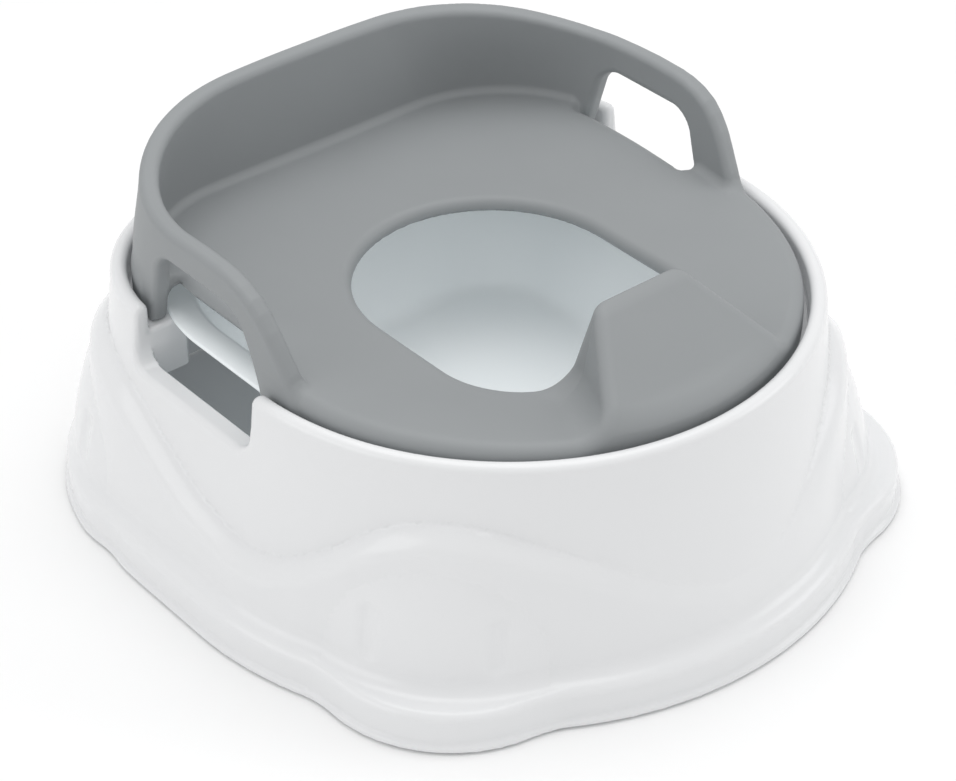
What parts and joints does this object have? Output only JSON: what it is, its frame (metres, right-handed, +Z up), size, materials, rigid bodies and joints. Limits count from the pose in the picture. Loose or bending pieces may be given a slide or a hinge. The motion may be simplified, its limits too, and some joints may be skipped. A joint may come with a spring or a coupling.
{
  "type": "potty training chair",
  "caption": "Child's potty chair: open-bottomed white base with wheel-arch fenders, lift-out bowl and lift-off grey seat with backrest, side handles and splash guard.",
  "frame": {"origin": "on the floor, at the middle of the base's footprint", "axes": "+Z up, the child faces -Y, +X to the child's left"},
  "size_m": [0.385, 0.3979, 0.195],
  "materials": {
    "base_white": "moulded polypropylene, white, glossy",
    "bowl_white": "moulded polypropylene, cool translucent white, satin gloss",
    "seat_grey": "moulded polypropylene, mid grey, fine matte texture",
    "rubber_grey": "soft dark grey thermoplastic rubber"
  },
  "bodies": {
    "base": {"base_shell": "base_white", "foot_front_left": "rubber_grey", "foot_front_right": "rubber_grey", "foot_rear_left": "rubber_grey", "foot_rear_right": "rubber_grey"},
    "bowl": {"potty_bowl": "bowl_white"},
    "seat": {"toilet_seat": "seat_grey", "seat_grip_front_left": "rubber_grey", "seat_grip_front_right": "rubber_grey", "seat_grip_rear_left": "rubber_grey", "seat_grip_rear_right": "rubber_grey"}
  },
  "joints": [
    {"name": "seat_lift", "type": "slide", "parent": "base", "child": "seat", "axis": [0, 0, 1], "range_m": [0, 0.25]},
    {"name": "bowl_lift", "type": "slide", "parent": "base", "child": "bowl", "axis": [0, 0, 1], "range_m": [0, 0.1]}
  ],
  "couplings": [
    {"joint": "bowl_lift", "follows": "seat_lift", "ratio": 0.4}
  ]
}
